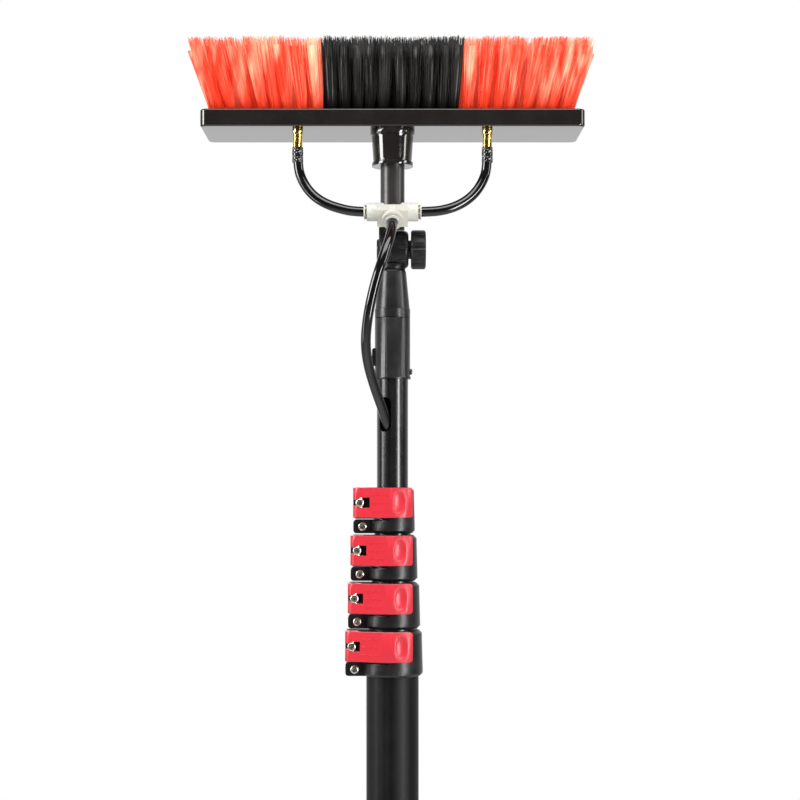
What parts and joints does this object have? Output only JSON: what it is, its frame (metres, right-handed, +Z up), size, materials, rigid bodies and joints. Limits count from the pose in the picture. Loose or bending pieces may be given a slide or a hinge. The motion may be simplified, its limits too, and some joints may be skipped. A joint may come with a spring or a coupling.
{
  "type": "window cleaning pole",
  "caption": "Telescopic water-fed window cleaning pole with lever clamps, a hinged neck, hoses and a wash brush with water jets.",
  "frame": {"origin": "centre of the end cap's outer face, on the pole's axis", "axes": "+Z up the pole to the brush, -Y towards the levers and the tee, +X to the right seen from there"},
  "size_m": [0.327, 0.124, 1.7942],
  "materials": {
    "carbon_tube": "satin clear-coated carbon fibre",
    "foam": "matte closed-cell foam",
    "black_nylon": "moulded, fine texture",
    "liner_plastic": "smooth",
    "red_plastic": "satin moulded",
    "steel": "zinc plated",
    "neck_alloy": "black anodised",
    "ivory_plastic": "satin moulded",
    "seal_rubber": "smooth",
    "block_plastic": "glossy moulded",
    "bristle_orange": "nylon filament",
    "bristle_black": "nylon filament",
    "brass": "machined",
    "sleeve_rubber": "dimpled",
    "hose_black": "satin polyurethane"
  },
  "bodies": {
    "base": {"tube_1": "carbon_tube", "foam_grip": "foam", "end_cap": "black_nylon", "clamp_1_collar": "black_nylon", "clamp_1_liner": "liner_plastic", "clamp_1_barrel_pin": "steel", "clamp_1_screws": "steel"},
    "section_2": {"tube_2": "carbon_tube", "guide_bush_2": "black_nylon", "clamp_2_collar": "black_nylon", "clamp_2_liner": "liner_plastic", "clamp_2_barrel_pin": "steel", "clamp_2_screws": "steel"},
    "section_3": {"tube_3": "carbon_tube", "guide_bush_3": "black_nylon", "clamp_3_collar": "black_nylon", "clamp_3_liner": "liner_plastic", "clamp_3_barrel_pin": "steel", "clamp_3_screws": "steel"},
    "section_4": {"tube_4": "carbon_tube", "guide_bush_4": "black_nylon", "clamp_4_collar": "black_nylon", "clamp_4_liner": "liner_plastic", "clamp_4_barrel_pin": "steel", "clamp_4_screws": "steel"},
    "section_5": {"tube_5": "carbon_tube", "guide_bush_5": "black_nylon", "ferrule": "black_nylon", "button_spring": "steel", "adaptor_cone": "black_nylon", "hinge_lower_half": "black_nylon", "hinge_bolt": "steel", "hinge_washer": "steel", "pole_hose": "hose_black"},
    "head": {"hinge_upper_half": "black_nylon", "neck_tube": "neck_alloy", "tee_body": "ivory_plastic", "tee_seals": "seal_rubber", "tee_clip": "black_nylon", "brush_socket": "black_nylon", "brush_block": "block_plastic", "socket_screws": "steel", "bristles_left": "bristle_orange", "bristles_centre": "bristle_black", "bristles_right": "bristle_orange", "jet_fittings": "brass", "jet_sleeves": "sleeve_rubber", "feed_hose": "hose_black", "jet_hose_left": "hose_black", "jet_hose_right": "hose_black"},
    "lever_1": {"clamp_1_lever": "red_plastic"},
    "lever_2": {"clamp_2_lever": "red_plastic"},
    "lever_3": {"clamp_3_lever": "red_plastic"},
    "lever_4": {"clamp_4_lever": "red_plastic"},
    "button": {"snap_button": "steel"},
    "knob": {"hinge_knob": "black_nylon"},
    "collet_left": {"collet_left": "ivory_plastic"},
    "collet_right": {"collet_right": "ivory_plastic"},
    "collet_front": {"collet_front": "ivory_plastic"}
  },
  "joints": [
    {"name": "extend_2", "type": "slide", "parent": "base", "child": "section_2", "axis": [0, 0, 1], "range_m": [0, 1.14]},
    {"name": "extend_3", "type": "slide", "parent": "section_2", "child": "section_3", "axis": [0, 0, 1], "range_m": [0, 1.14]},
    {"name": "extend_4", "type": "slide", "parent": "section_3", "child": "section_4", "axis": [0, 0, 1], "range_m": [0, 1.14]},
    {"name": "extend_5", "type": "slide", "parent": "section_4", "child": "section_5", "axis": [0, 0, 1], "range_m": [0, 1.14]},
    {"name": "lever_1_swing", "type": "hinge", "parent": "base", "child": "lever_1", "pos_m": [-0.0327, -0.0138, 1.305], "axis": [0, 0, -1], "range_deg": [0, 115]},
    {"name": "lever_2_swing", "type": "hinge", "parent": "section_2", "child": "lever_2", "pos_m": [-0.03055, -0.0138, 1.3435], "axis": [0, 0, -1], "range_deg": [0, 115]},
    {"name": "lever_3_swing", "type": "hinge", "parent": "section_3", "child": "lever_3", "pos_m": [-0.0284, -0.0138, 1.382], "axis": [0, 0, -1], "range_deg": [0, 115]},
    {"name": "lever_4_swing", "type": "hinge", "parent": "section_4", "child": "lever_4", "pos_m": [-0.02625, -0.0138, 1.4205], "axis": [0, 0, -1], "range_deg": [0, 115]},
    {"name": "head_tilt", "type": "hinge", "parent": "section_5", "child": "head", "pos_m": [0, 0, 1.626], "axis": [1, 0, 0], "range_deg": [-60, 60], "deforming": ["feed_hose"]},
    {"name": "knob_turn", "type": "hinge", "parent": "section_5", "child": "knob", "pos_m": [0.018, 0, 1.626], "axis": [1, 0, 0], "continuous": true},
    {"name": "button_press", "type": "slide", "parent": "section_5", "child": "button", "axis": [-1, 0, 0], "range_m": [0, 0.0022], "stiffness_N_per_m": 400, "deforming": ["button_spring"]},
    {"name": "collet_left_push", "type": "slide", "parent": "head", "child": "collet_left", "axis": [1, 0, 0], "range_m": [0, 0.0012]},
    {"name": "collet_right_push", "type": "slide", "parent": "head", "child": "collet_right", "axis": [-1, 0, 0], "range_m": [0, 0.0012]},
    {"name": "collet_front_push", "type": "slide", "parent": "head", "child": "collet_front", "axis": [0, 0.7986, 0.6018], "range_m": [0, 0.0012]}
  ]
}
